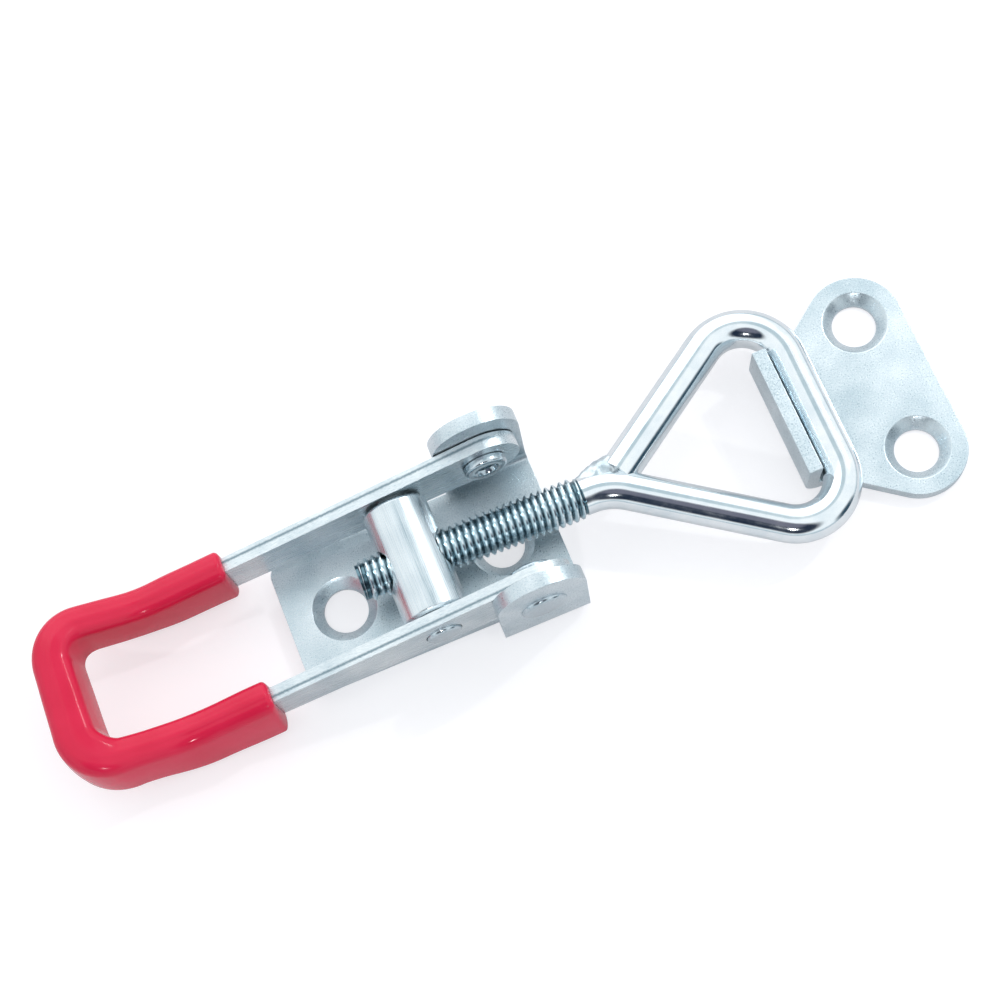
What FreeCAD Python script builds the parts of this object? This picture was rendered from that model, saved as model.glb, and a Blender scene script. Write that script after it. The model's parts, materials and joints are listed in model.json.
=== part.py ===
import FreeCAD, Part
import math
import operator
import os

import Sketcher

# An adjustable toggle latch of zinc-plated steel with a dipped vinyl handle, shown closed.
# X runs from the handle to the catch, Y across and Z up from the mounting face.
# The origin lies midway between the two screw holes of the base plate.

VECTOR = FreeCAD.Vector
Y_AXIS = VECTOR(0, 1, 0)
Z_AXIS = VECTOR(0, 0, 1)

DRIVING_SIZES = [
    ("plate_thickness", 2.0, "sheet of the base plate and its ears"),
    ("floor_width", 19.4, "floor of the base plate behind the ears"),
    ("floor_corner", 2.0, "radius of the floor's rear corners"),
    ("screw_spacing", 23.3, "between the two screw holes of the base plate"),
    ("rear_overhang", 8.05, "from the rear screw hole to the rear edge"),
    ("front_overhang", 7.95, "from the front screw hole to the front edge"),
    ("screw_hole", 6.2, "through diameter of every screw hole"),
    ("countersink", 9.1, "mouth diameter of every screw hole"),
    ("countersink_angle", 90.0, "included angle of every countersink"),
    ("ear_length", 12.4, "each ear along the latch"),
    ("ear_height", 20.2, "top of the ears above the mounting face"),
    ("ear_top_flat", 0.6, "flat left between each ear's two rounded corners"),
    ("bend_radius", 1.0, "inside radius where a sheet is folded"),
    ("rounding_gap", 0.2, "sliver left flat where two roundings would meet"),
    ("pivot_height", 11.4, "lever's pivot above the mounting face"),
    ("lever_gap", 17.2, "between the lever's two arms"),
    ("strip_thickness", 2.0, "strip that the lever is bent from"),
    ("side_clearance", 0.15, "between each arm and its ear"),
    ("arm_angle", 7.3, "slope of the closed arms, down towards the handle"),
    ("tail_angle", 21.0, "rise of the handle end"),
    ("kink_reach", 50.1, "from the pivot back to the kink before the handle end"),
    ("tail_reach", 11.7, "from the kink back to the crossbar"),
    ("arm_height", 10.4, "height of each arm at the pivot"),
    ("tail_height", 7.0, "height of the strip from the kink to the crossbar"),
    ("kink_round", 9.0, "radius of the kink on its upper edge"),
    ("knee_round", 2.0, "radius on the lower edge where the rise levels out"),
    ("bow_round", 3.8, "inside radius of the lever's two bends"),
    ("vinyl_thickness", 1.25, "dipped coat on the handle's sides"),
    ("vinyl_end", 1.6, "dipped coat on the crossbar, where it hung lowest"),
    ("vinyl_round", 1.8, "rounding of the coat's long edges"),
    ("grip_reach", 37.6, "from the pivot back to the edge of the coat"),
    ("trunnion_reach", 13.5, "trunnion behind the pivot"),
    ("trunnion_drop", 1.9, "trunnion below the pivot"),
    ("barrel_diameter", 9.0, "trunnion between the arms"),
    ("barrel_chamfer", 0.5, "turned edge of the trunnion"),
    ("barrel_clearance", 0.3, "between the trunnion's shoulders and each arm"),
    ("spigot_diameter", 5.0, "trunnion's ends in the arms"),
    ("spigot_recess", 0.25, "spigot's end below the arm's outer face"),
    ("running_clearance", 0.05, "radial clearance of everything that turns"),
    ("rivet_head", 6.4, "rivet's outer head, flush in the ear"),
    ("rivet_recess", 0.25, "rivet's head below the ear's outer face"),
    ("rivet_shank", 5.0, "rivet where the arm turns on it"),
    ("rivet_end", 6.0, "rivet's spread inner end"),
    ("rivet_end_height", 1.1, "how far the spread end stands inside the arm"),
    ("rivet_end_slope", 0.4, "rounded rim of the spread end"),
    ("rivet_end_clearance", 0.1, "between the spread end and the arm"),
    ("rivet_dimple", 3.0, "mouth of the punched hollow in the rivet's inner end"),
    ("rivet_dimple_floor", 1.5, "floor of that hollow"),
    ("rivet_dimple_depth", 0.9, "depth of that hollow"),
    ("press_clearance", 0.01, "radial clearance of a part that doesn't turn"),
    ("thread_diameter", 6.0, "screwed end of the draw bolt"),
    ("thread_chamfer", 0.8, "chamfer at the start of the thread"),
    ("thread_behind", 7.9, "thread that stands behind the trunnion's centre"),
    ("neck_length", 1.1, "plain rod between the thread and the bend"),
    ("rod_diameter", 5.3, "plain rod that the draw bolt is made from"),
    ("bar_reach", 58.2, "from the trunnion to the loop's front bar"),
    ("bar_height", 5.15, "front bar's centre above the mounting face"),
    ("loop_width", 35.0, "loop over its two corners"),
    ("loop_corner", 6.6, "radius of the loop's corners on the rod's centre line"),
    ("leg_angle", 34.5, "between each leg of the loop and the screw"),
    ("leg_bend", 9.0, "radius where the screw bends into the near leg"),
    ("catch_spacing", 20.1, "between the two screw holes of the catch"),
    ("catch_thickness", 2.0, "sheet of the catch"),
    ("lobe_radius", 6.8, "rounded ends of the catch"),
    ("catch_reach", 11.4, "from the loop's front bar to the catch's screw holes"),
    ("catch_taper", 37.0, "slope of the catch's sides towards its lip"),
    ("lip_width", 18.8, "hooked lip across the latch"),
    ("lip_height", 8.6, "top of the lip above the mounting face"),
    ("lip_lean", 2.0, "lean of the lip over the loop's bar"),
    ("hook_clearance", 0.3, "between the lip's top edge and the loop's bar"),
]


class Size:
    """A length or angle that knows its number and its spreadsheet formula."""

    def __init__(self, value, formula):
        self.value = value
        self.formula = formula

    def __add__(self, other):
        return combine(self, operator.add, "+", other)

    def __sub__(self, other):
        return combine(self, operator.sub, "-", other)

    def __mul__(self, other):
        return combine(self, operator.mul, "*", other)

    def __truediv__(self, other):
        return combine(self, operator.truediv, "/", other)

    def __neg__(self):
        return combine(-1, operator.mul, "*", self)


def as_size(number):
    """Let a plain number take part in a formula."""
    return number if isinstance(number, Size) else Size(float(number), repr(number))


def combine(left, calculate, sign, right):
    """Join two sizes into one, as a number and as a formula."""
    left = as_size(left)
    right = as_size(right)
    formula = "(" + left.formula + " " + sign + " " + right.formula + ")"
    return Size(calculate(left.value, right.value), formula)


def sine(angle):
    return Size(math.sin(math.radians(angle.value)), "sin(" + angle.formula + ")")


def cosine(angle):
    return Size(math.cos(math.radians(angle.value)), "cos(" + angle.formula + ")")


def tangent(angle):
    return Size(math.tan(math.radians(angle.value)), "tan(" + angle.formula + ")")


def arc_sine(ratio):
    return Size(math.degrees(math.asin(ratio.value)), "asin(" + ratio.formula + ")")


class Sizes:
    """The driving sizes, one attribute for each row of the spreadsheet."""

    def __init__(self, sheet):
        for row, (alias, value, note) in enumerate(DRIVING_SIZES, start=1):
            sheet.set("A" + str(row), note)
            sheet.set("B" + str(row), str(value))
            sheet.setAlias("B" + str(row), alias)
            setattr(self, alias, Size(value, sheet.Name + "." + alias))


doc = FreeCAD.newDocument("toggle_latch")
S = Sizes(doc.addObject("Spreadsheet::Sheet", "sizes"))
doc.recompute()

# Places that several pieces share, all worked out from the driving sizes.
FRONT_EDGE = S.screw_spacing / 2 + S.front_overhang
REAR_EDGE = -(S.screw_spacing / 2 + S.rear_overhang)
PIVOT_X = FRONT_EDGE - S.ear_length / 2
ARM_OUTSIDE = S.lever_gap / 2 + S.strip_thickness
EAR_INSIDE = ARM_OUTSIDE + S.side_clearance
EAR_OUTSIDE = EAR_INSIDE + S.plate_thickness
TRUNNION_X = PIVOT_X - S.trunnion_reach
TRUNNION_Z = S.pivot_height - S.trunnion_drop
BOLT_SLOPE = arc_sine((TRUNNION_Z - S.bar_height) / S.bar_reach)
BAR_X = TRUNNION_X + S.bar_reach * cosine(BOLT_SLOPE)
KINK_DROP = S.kink_reach * tangent(S.arm_angle)
TAIL_RISE = S.tail_reach * tangent(S.tail_angle)

# Half of a square corner, the turn that a rounding's tangents share.
HALF_RIGHT_ANGLE = Size(45, "45 deg")

# How far a cutting outline reaches past its piece, in lengths of that piece.
BEYOND = 3

# How close a length or a direction has to be to count as the same.
NEAR = 0.01
PARALLEL = 1e-6


def bind(item, name, size):
    """Tie one property of an object to its spreadsheet formula."""
    item.setExpression(name, as_size(size).formula)


def new_body(label, x=0, y=0, z=0, turn=0, about=Y_AXIS):
    """Start a sub-part whose own origin is placed in the latch."""
    body = doc.addObject("PartDesign::Body", label)
    body.Label = label
    turn = as_size(turn)
    body.Placement = FreeCAD.Placement(VECTOR(0, 0, 0), FreeCAD.Rotation(about, turn.value))
    for name, size in (("x", x), ("y", y), ("z", z)):
        bind(body, "Placement.Base." + name, size)
    if turn.value:
        bind(body, "Placement.Rotation.Angle", turn)
    return body


def new_sketch(body, name, plane, along_normal=0):
    """Put a sketch on one of the body's own origin planes."""
    sketch = body.newObject("Sketcher::SketchObject", body.Label + "_" + name)
    support = next(item for item in body.Origin.OriginFeatures if item.Role == plane)
    sketch.AttachmentSupport = (support, [""])
    sketch.MapMode = "FlatFace"
    bind(sketch, "AttachmentOffset.Base.z", along_normal)
    return sketch


def place_point(sketch, geometry, position, x, y):
    """Hold one sketch point at its distances from the sketch's origin."""
    for kind, size in (("DistanceX", x), ("DistanceY", y)):
        size = as_size(size)
        index = sketch.addConstraint(
            Sketcher.Constraint(kind, -1, 1, geometry, position, size.value))
        sketch.setExpression("Constraints[" + str(index) + "]", size.formula)


def draw_outline(sketch, corners):
    """Draw a closed outline of straight sides through its corners."""
    corners = [(as_size(x), as_size(y)) for x, y in corners]
    first = sketch.GeometryCount
    count = len(corners)
    for index, (x, y) in enumerate(corners):
        end_x, end_y = corners[(index + 1) % count]
        side = Part.LineSegment(VECTOR(x.value, y.value, 0), VECTOR(end_x.value, end_y.value, 0))
        sketch.addGeometry(side, False)
    for index, (x, y) in enumerate(corners):
        following = first + (index + 1) % count
        sketch.addConstraint(Sketcher.Constraint("Coincident", first + index, 2, following, 1))
        place_point(sketch, first + index, 1, x, y)


def bend_points(before, corner, after, radius):
    """Where a rounded corner begins, its middle and where it ends."""
    back = (before - corner).normalize()
    ahead = (after - corner).normalize()
    half_angle = back.getAngle(ahead) / 2
    inward = (back + ahead).normalize()
    run = radius / math.tan(half_angle)
    middle_depth = radius / math.sin(half_angle) - radius
    return corner + back * run, corner + inward * middle_depth, corner + ahead * run


def end_near(sketch, geometry, point):
    """The number of the geometry's end that lies at the point: 1 or 2."""
    distances = [sketch.getPoint(geometry, end).distanceToPoint(point) for end in (1, 2)]
    return 1 + distances.index(min(distances))


def draw_rounded(sketch, corners, closed=True):
    """Draw straight runs from corner to corner, each (x, y, radius); radius 0 is sharp."""
    corners = [(as_size(x), as_size(y), as_size(radius)) for x, y, radius in corners]
    places = [VECTOR(x.value, y.value, 0) for x, y, _ in corners]
    count = len(corners)
    bends = []
    for index, (_, _, radius) in enumerate(corners):
        if radius.value:
            following = places[(index + 1) % count]
            bends.append(bend_points(places[index - 1], places[index], following, radius.value))
        else:
            bends.append((places[index], places[index], places[index]))

    arcs, runs = {}, {}
    for index, (start, mid, end) in enumerate(bends):
        if corners[index][2].value:
            arcs[index] = sketch.addGeometry(Part.Arc(start, mid, end), False)
        if closed or index < count - 1:
            run_end = bends[(index + 1) % count][0]
            runs[index] = sketch.addGeometry(Part.LineSegment(end, run_end), False)

    for index, (x, y, radius) in enumerate(corners):
        before = runs.get((index - 1) % count)
        after = runs.get(index)
        if index in arcs:
            arc = arcs[index]
            start, _, end = bends[index]
            for run, run_point, place in ((before, 2, start), (after, 1, end)):
                sketch.addConstraint(Sketcher.Constraint(
                    "Tangent", run, run_point, arc, end_near(sketch, arc, place)))
            number = sketch.addConstraint(Sketcher.Constraint("Radius", arc, radius.value))
            sketch.setExpression("Constraints[" + str(number) + "]", radius.formula)
            marker = sketch.addGeometry(Part.Point(places[index]), True)
            place_point(sketch, marker, 1, x, y)
            for run in (before, after):
                sketch.addConstraint(Sketcher.Constraint("PointOnObject", marker, 1, run))
        elif after is None:
            place_point(sketch, before, 2, x, y)
        else:
            place_point(sketch, after, 1, x, y)
            if before is not None:
                sketch.addConstraint(Sketcher.Constraint("Coincident", before, 2, after, 1))


def draw_rectangle(sketch, low_x, low_y, high_x, high_y):
    draw_outline(sketch, [(low_x, low_y), (high_x, low_y), (high_x, high_y), (low_x, high_y)])


def draw_circle(sketch, x, y, diameter):
    """Draw a circle whose centre and diameter follow the spreadsheet."""
    x, y, diameter = as_size(x), as_size(y), as_size(diameter)
    circle = Part.Circle(VECTOR(x.value, y.value, 0), Z_AXIS, diameter.value / 2)
    geometry = sketch.addGeometry(circle, False)
    place_point(sketch, geometry, 3, x, y)
    index = sketch.addConstraint(Sketcher.Constraint("Diameter", geometry, diameter.value))
    sketch.setExpression("Constraints[" + str(index) + "]", diameter.formula)


def pad(body, sketch, length, both_ways=False):
    """Grow a sketch along its normal, or equally to both sides of its plane."""
    feature = body.newObject("PartDesign::Pad", sketch.Name + "_pad")
    feature.Profile = sketch
    feature.SideType = "Symmetric" if both_ways else "One side"
    bind(feature, "Length", length)
    doc.recompute()


def cut_through(body, sketch):
    """Cut a sketch through the whole body, to both sides of its plane."""
    before = body.Shape.Volume
    feature = body.newObject("PartDesign::Pocket", sketch.Name + "_cut")
    feature.Profile = sketch
    feature.Type = "ThroughAll"
    feature.SideType = "Symmetric"
    feature.Refine = False
    doc.recompute()
    if body.Shape.Volume >= before:
        raise RuntimeError(feature.Name + " cut nothing")


def revolve(body, sketch, axis="V_Axis"):
    """Turn a half profile about one of the sketch's own axes."""
    feature = body.newObject("PartDesign::Revolution", sketch.Name + "_turned")
    feature.Profile = sketch
    feature.ReferenceAxis = (sketch, [axis])
    feature.Angle = 360
    doc.recompute()


def round_edges(body, name, radius, chosen):
    """Round the edges of the body that the chosen test picks out."""
    base = body.Tip
    names = ["Edge" + str(number) for number, edge in enumerate(base.Shape.Edges, start=1)
             if chosen(edge)]
    if not names:
        raise RuntimeError(body.Label + " has no edge for " + name)
    feature = body.newObject("PartDesign::Fillet", body.Label + "_" + name)
    feature.Base = (base, names)
    bind(feature, "Radius", radius)
    doc.recompute()


def countersunk_holes(body, name, centres, face_height):
    """Drill countersunk screw holes downwards from the plate's upper face."""
    before = body.Shape.Volume
    sketch = new_sketch(body, name, "XY_Plane", along_normal=face_height)
    for x, y in centres:
        draw_circle(sketch, x, y, S.screw_hole)
    doc.recompute()
    feature = body.newObject("PartDesign::Hole", sketch.Name + "_drilled")
    feature.Profile = sketch
    doc.recompute()
    feature.DepthType = "ThroughAll"
    feature.HoleCutType = "Countersink"
    feature.HoleCutCustomValues = True
    bind(feature, "Diameter", S.screw_hole)
    bind(feature, "HoleCutDiameter", S.countersink)
    bind(feature, "HoleCutCountersinkAngle", S.countersink_angle)
    doc.recompute()
    if body.Shape.Volume >= before:
        raise RuntimeError(feature.Name + " cut nothing")


def middle(edge):
    """The point halfway along an edge."""
    return edge.valueAt((edge.FirstParameter + edge.LastParameter) / 2)


def is_near(number, size):
    return abs(number - as_size(size).value) < NEAR


def runs_along(edge, direction):
    """True for a straight edge parallel to the direction."""
    if not isinstance(edge.Curve, Part.Line):
        return False
    return abs(abs(edge.Curve.Direction.dot(direction)) - 1) < PARALLEL


def make_base_plate():
    """A narrow floor that widens at the front and is folded up into two ears."""
    body = new_body("base_plate")
    thickness = S.plate_thickness

    channel = new_sketch(body, "channel", "YZ_Plane", along_normal=FRONT_EDGE - S.ear_length)
    draw_outline(channel, [
        (-EAR_OUTSIDE, 0), (EAR_OUTSIDE, 0), (EAR_OUTSIDE, S.ear_height),
        (EAR_INSIDE, S.ear_height), (EAR_INSIDE, thickness), (-EAR_INSIDE, thickness),
        (-EAR_INSIDE, S.ear_height), (-EAR_OUTSIDE, S.ear_height)])
    pad(body, channel, S.ear_length)

    def on_bend(half_width, height):
        return lambda edge: (runs_along(edge, VECTOR(1, 0, 0))
                             and is_near(abs(middle(edge).y), half_width)
                             and is_near(middle(edge).z, height))

    round_edges(body, "outer_bend", S.bend_radius + thickness, on_bend(EAR_OUTSIDE, 0))
    round_edges(body, "inner_bend", S.bend_radius, on_bend(EAR_INSIDE, thickness))
    round_edges(body, "ear_tops", (S.ear_length - S.ear_top_flat) / 2,
                lambda edge: runs_along(edge, Y_AXIS) and is_near(middle(edge).z, S.ear_height))

    floor = new_sketch(body, "floor", "XY_Plane")
    draw_rectangle(floor, REAR_EDGE, -S.floor_width / 2, FRONT_EDGE, S.floor_width / 2)
    pad(body, floor, thickness)
    round_edges(body, "floor_corners", S.floor_corner,
                lambda edge: runs_along(edge, Z_AXIS) and is_near(middle(edge).x, REAR_EDGE))

    countersunk_holes(body, "screws", [(-S.screw_spacing / 2, 0), (S.screw_spacing / 2, 0)],
                      thickness)
    rivet_holes = new_sketch(body, "rivet_holes", "XZ_Plane")
    draw_circle(rivet_holes, PIVOT_X, S.pivot_height, S.rivet_head + S.press_clearance * 2)
    cut_through(body, rivet_holes)
    return body


def bent_strip(body, skin, end_skin, mouth):
    """The lever's strip on edge, bent to a U in plan, with its closed end raised.

    The body's origin is the pivot. skin is added on every side of the strip and end_skin
    before and behind its crossbar, so that 0 gives the strip and more gives its coat. mouth
    holds the two corners of the open end, upper first, seen from the side.
    """
    inside = S.lever_gap / 2 - skin
    outside = ARM_OUTSIDE + skin
    crossbar_front = end_skin - (S.kink_reach + S.tail_reach)
    crossbar_back = -(S.kink_reach + S.tail_reach + S.strip_thickness + end_skin)
    ahead = S.arm_height
    plan = new_sketch(body, "plan", "XY_Plane")
    draw_rounded(plan, [
        (ahead, -outside, 0), (ahead, -inside, 0),
        (crossbar_front, -inside, S.bow_round - skin),
        (crossbar_front, inside, S.bow_round - skin),
        (ahead, inside, 0), (ahead, outside, 0),
        (crossbar_back, outside, S.bow_round + S.strip_thickness + skin),
        (crossbar_back, -outside, S.bow_round + S.strip_thickness + skin)])
    pad(body, plan, S.kink_reach * 2, both_ways=True)

    # Seen from the side the arms taper to the kink, and the rise levels out at the crossbar.
    half_tail = S.tail_height / 2 + skin
    kink_x, kink_z = -S.kink_reach, -KINK_DROP
    knee_x, knee_z = kink_x - S.tail_reach, kink_z + TAIL_RISE
    past_back = knee_x - S.tail_reach
    upper_kink, lower_kink = S.kink_round - skin, S.kink_round + S.tail_height + skin
    upper_knee, lower_knee = S.knee_round + S.tail_height + skin, S.knee_round - skin
    far = S.kink_reach * BEYOND
    side = new_sketch(body, "side", "XZ_Plane")
    draw_rectangle(side, -far, -far, far, far)
    draw_rounded(side, [
        mouth[0],
        (kink_x, kink_z + half_tail, upper_kink), (knee_x, knee_z + half_tail, upper_knee),
        (past_back, knee_z + half_tail, 0), (past_back, knee_z - half_tail, 0),
        (knee_x, knee_z - half_tail, lower_knee), (kink_x, kink_z - half_tail, lower_kink),
        mouth[1]])
    cut_through(body, side)
    return crossbar_front, crossbar_back


def make_lever():
    """One strip on edge, bent to a U, with rounded ends that turn on the rivets."""
    body = new_body("lever", x=PIVOT_X, z=S.pivot_height)
    half = S.arm_height / 2
    slope_x, slope_z = cosine(S.arm_angle), sine(S.arm_angle)
    taper = arc_sine((half - S.tail_height / 2 * slope_x) / (half + S.kink_reach / slope_x))
    end_round = (half - S.rounding_gap / 2) / tangent(HALF_RIGHT_ANGLE + taper / 2)
    no_skin = as_size(0)
    bent_strip(body, no_skin, no_skin, [
        ((slope_x - slope_z) * half, (slope_z + slope_x) * half, end_round),
        ((slope_x + slope_z) * half, (slope_z - slope_x) * half, end_round)])
    holes = new_sketch(body, "holes", "XZ_Plane")
    draw_circle(holes, 0, 0, S.rivet_shank + S.running_clearance * 2)
    draw_circle(holes, -S.trunnion_reach, -S.trunnion_drop,
                S.spigot_diameter + S.running_clearance * 2)
    cut_through(body, holes)
    return body


def make_handle_grip(lever):
    """The vinyl coat dipped over the lever's closed end, hollow where the strip runs in it."""
    outer = new_body("grip_outer_form", x=PIVOT_X, z=S.pivot_height)
    along_arm = S.grip_reach / S.kink_reach
    half_strip = (S.arm_height * (as_size(1) - along_arm) + S.tail_height * along_arm) / 2
    half = half_strip / cosine(S.arm_angle) + S.vinyl_thickness
    mouth_z = -S.grip_reach * tangent(S.arm_angle)
    faces = bent_strip(outer, S.vinyl_thickness, S.vinyl_end, [
        (-S.grip_reach, mouth_z + half, 0), (-S.grip_reach, mouth_z - half, 0)])

    def on_crossbar(edge):
        return any(is_near(middle(edge).x, face) for face in faces)

    def is_long_edge(edge):
        if runs_along(edge, Y_AXIS):
            return on_crossbar(edge)
        return not runs_along(edge, Z_AXIS)

    round_edges(outer, "soft_edges", S.vinyl_round, is_long_edge)
    grip = doc.addObject("Part::Cut", "handle_grip")
    grip.Label = "handle_grip"
    grip.Base = outer
    grip.Tool = lever
    doc.recompute()
    return grip


def make_trunnion():
    """A turned cross pin with a tapped hole, whose spigots turn in the lever's arms."""
    body = new_body("trunnion", x=TRUNNION_X, z=TRUNNION_Z, turn=BOLT_SLOPE)
    barrel, spigot = S.barrel_diameter / 2, S.spigot_diameter / 2
    shoulder = S.lever_gap / 2 - S.barrel_clearance
    end = ARM_OUTSIDE - S.spigot_recess
    chamfer = S.barrel_chamfer
    profile = new_sketch(body, "profile", "XY_Plane")
    draw_outline(profile, [
        (0, -end), (spigot, -end), (spigot, -shoulder), (barrel - chamfer, -shoulder),
        (barrel, chamfer - shoulder), (barrel, shoulder - chamfer),
        (barrel - chamfer, shoulder), (spigot, shoulder), (spigot, end), (0, end)])
    revolve(body, profile)
    hole = new_sketch(body, "tapped_hole", "YZ_Plane")
    draw_circle(hole, 0, 0, S.thread_diameter + S.running_clearance * 2)
    cut_through(body, hole)
    return body


def make_rivet(label, side):
    """A shouldered rivet: a flush head in the ear and a spread, dimpled end inside the arm."""
    turned = 180 if side > 0 else 0
    body = new_body(label, x=PIVOT_X, y=EAR_OUTSIDE * side, z=S.pivot_height,
                    turn=turned, about=Z_AXIS)
    head, shank = S.rivet_head / 2, S.rivet_shank / 2
    end, slope = S.rivet_end / 2, S.rivet_end_slope
    inner_face = (EAR_OUTSIDE - S.lever_gap / 2) + S.rivet_end_clearance
    top = inner_face + S.rivet_end_height
    hollow = top - S.rivet_dimple_depth
    profile = new_sketch(body, "profile", "XY_Plane")
    draw_outline(profile, [
        (0, S.rivet_recess), (head, S.rivet_recess), (head, S.plate_thickness),
        (shank, S.plate_thickness), (shank, inner_face), (end, inner_face),
        (end, top - slope), (end - slope, top), (S.rivet_dimple / 2, top),
        (S.rivet_dimple_floor / 2, hollow), (0, hollow)])
    revolve(body, profile)
    return body


def make_draw_bolt():
    """One bent rod: a screwed shank, and a loop whose far leg is welded back to the shank."""
    body = new_body("draw_bolt", x=TRUNNION_X, z=TRUNNION_Z, turn=BOLT_SLOPE)
    rod, thread = S.rod_diameter / 2, S.thread_diameter / 2
    corner_x = S.bar_reach - S.loop_corner
    corner_y = S.loop_width / 2 - rod - S.loop_corner
    leg_x = corner_x - sine(S.leg_angle) * S.loop_corner
    leg_y = corner_y + cosine(S.leg_angle) * S.loop_corner
    fork_x = leg_x - leg_y / tangent(S.leg_angle)
    thread_end = fork_x - S.leg_bend * tangent(S.leg_angle / 2) - S.neck_length

    profile = new_sketch(body, "screw", "XY_Plane")
    chamfer = S.thread_chamfer
    draw_outline(profile, [
        (-S.thread_behind, 0), (-S.thread_behind, thread - chamfer),
        (chamfer - S.thread_behind, thread), (thread_end - (thread - rod), thread),
        (thread_end, rod), (thread_end, 0)])
    revolve(body, profile, "H_Axis")

    section = new_sketch(body, "bar_section", "XZ_Plane")
    draw_circle(section, S.bar_reach, 0, S.rod_diameter)
    tip_y = (S.bar_reach - fork_x) * tangent(S.leg_angle)
    near_end = [(fork_x, 0, S.leg_bend), (thread_end, 0, 0)]
    far_end = [(fork_x, 0, 0)]
    for name, side, leg_end in (("near", -1, near_end), ("far", 1, far_end)):
        path = new_sketch(body, name + "_path", "XY_Plane")
        half_loop = [(S.bar_reach, 0, 0), (S.bar_reach, tip_y * side, S.loop_corner)]
        draw_rounded(path, half_loop + leg_end, closed=False)
        doc.recompute()
        pipe = body.newObject("PartDesign::AdditivePipe", "draw_bolt_" + name + "_leg")
        pipe.Profile = section
        edge_count = len(path.Shape.Edges)
        pipe.Spine = (path, ["Edge" + str(number + 1) for number in range(edge_count)])
        doc.recompute()
    return body


def make_catch_plate():
    """A two-lobed plate whose front edge is folded up into the hook that holds the loop."""
    body = new_body("catch_plate", x=BAR_X + S.catch_reach)
    thickness, lobe = S.catch_thickness, S.lobe_radius
    hole_y = S.catch_spacing / 2
    lean_x, lean_z = sine(S.lip_lean), cosine(S.lip_lean)
    top_x = -(S.catch_reach + S.rod_diameter / 2 + S.hook_clearance)
    foot_x = top_x - (S.lip_height - thickness) * tangent(S.lip_lean)
    outer_foot_x = top_x - S.lip_height * tangent(S.lip_lean) - thickness / lean_z
    side = new_sketch(body, "side", "XZ_Plane")
    draw_outline(side, [
        (lobe, 0), (lobe, thickness), (foot_x, thickness), (top_x, S.lip_height),
        (top_x - lean_z * thickness, S.lip_height + lean_x * thickness), (outer_foot_x, 0)])
    pad(body, side, S.catch_spacing + lobe * 4, both_ways=True)
    round_edges(body, "outer_bend", S.bend_radius + thickness,
                lambda edge: runs_along(edge, Y_AXIS) and is_near(middle(edge).x, outer_foot_x))
    round_edges(body, "inner_bend", S.bend_radius,
                lambda edge: runs_along(edge, Y_AXIS) and is_near(middle(edge).x, foot_x))

    lip_y = S.lip_width / 2
    taper_corner_x = -(lobe * tangent(S.catch_taper / 2))
    taper_end_x = -(lobe * sine(S.catch_taper)
                    + (hole_y + lobe * cosine(S.catch_taper) - lip_y) / tangent(S.catch_taper))
    far = S.catch_reach * BEYOND
    outline = new_sketch(body, "outline", "XY_Plane")
    draw_rectangle(outline, -far, -far, far, far)
    half = [(-S.catch_reach * 2, lip_y), (taper_end_x, lip_y),
            (taper_corner_x, hole_y + lobe), (lobe, hole_y + lobe)]
    draw_outline(outline, half + [(x, -y) for x, y in reversed(half)])
    cut_through(body, outline)

    def at_lobe(x):
        return lambda edge: (runs_along(edge, Z_AXIS) and is_near(middle(edge).x, x)
                             and is_near(abs(middle(edge).y), hole_y + lobe))

    round_edges(body, "lobe_outsides", lobe - S.rounding_gap / 2, at_lobe(lobe))
    round_edges(body, "lobe_insides", lobe - S.rounding_gap, at_lobe(taper_corner_x))
    countersunk_holes(body, "screws", [(0, hole_y), (0, -hole_y)], thickness)
    return body


def check_document():
    """Stop if any object of the document failed to recompute."""
    for item in doc.Objects:
        if "Invalid" in item.State or "Error" in item.State:
            raise RuntimeError(item.Label + " failed: " + ", ".join(item.State))


def write_parts(parts):
    """Check each finished sub-part and write it to its own file."""
    os.makedirs("parts", exist_ok=True)
    for part in parts:
        shape = part.Shape
        if shape.isNull() or not shape.isValid():
            raise RuntimeError(part.Label + " isn't a valid shape")
        shape.exportStep(os.path.join("parts", part.Label + ".step"))
        print(part.Label, "solids", len(shape.Solids), "volume", round(shape.Volume, 2))


base_plate = make_base_plate()
lever = make_lever()
handle_grip = make_handle_grip(lever)
trunnion = make_trunnion()
near_rivet = make_rivet("near_pivot_rivet", -1)
far_rivet = make_rivet("far_pivot_rivet", 1)
draw_bolt = make_draw_bolt()
catch_plate = make_catch_plate()
doc.recompute()
check_document()
write_parts([base_plate, lever, handle_grip, trunnion, near_rivet, far_rivet, draw_bolt,
             catch_plate])
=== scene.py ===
# %% [markdown]
# # A toggle latch in zinc and dipped vinyl
# The latch is eight pieces of bright zinc-plated steel and red vinyl. The two folded sheets, the
# lever's strip and the cross pin come ready-shaped from the frame, and here they get their finish.
# The rest is made new, because its form is finer than the frame's: the bent draw bolt with its
# real thread, the weld that closes its loop, the rivets, the pin's ends and the soft coat.

# %% Load the frame
import json
import math

import bmesh
import bpy
from mathutils import Matrix, Vector, noise
from mathutils.bvhtree import BVHTree


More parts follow.
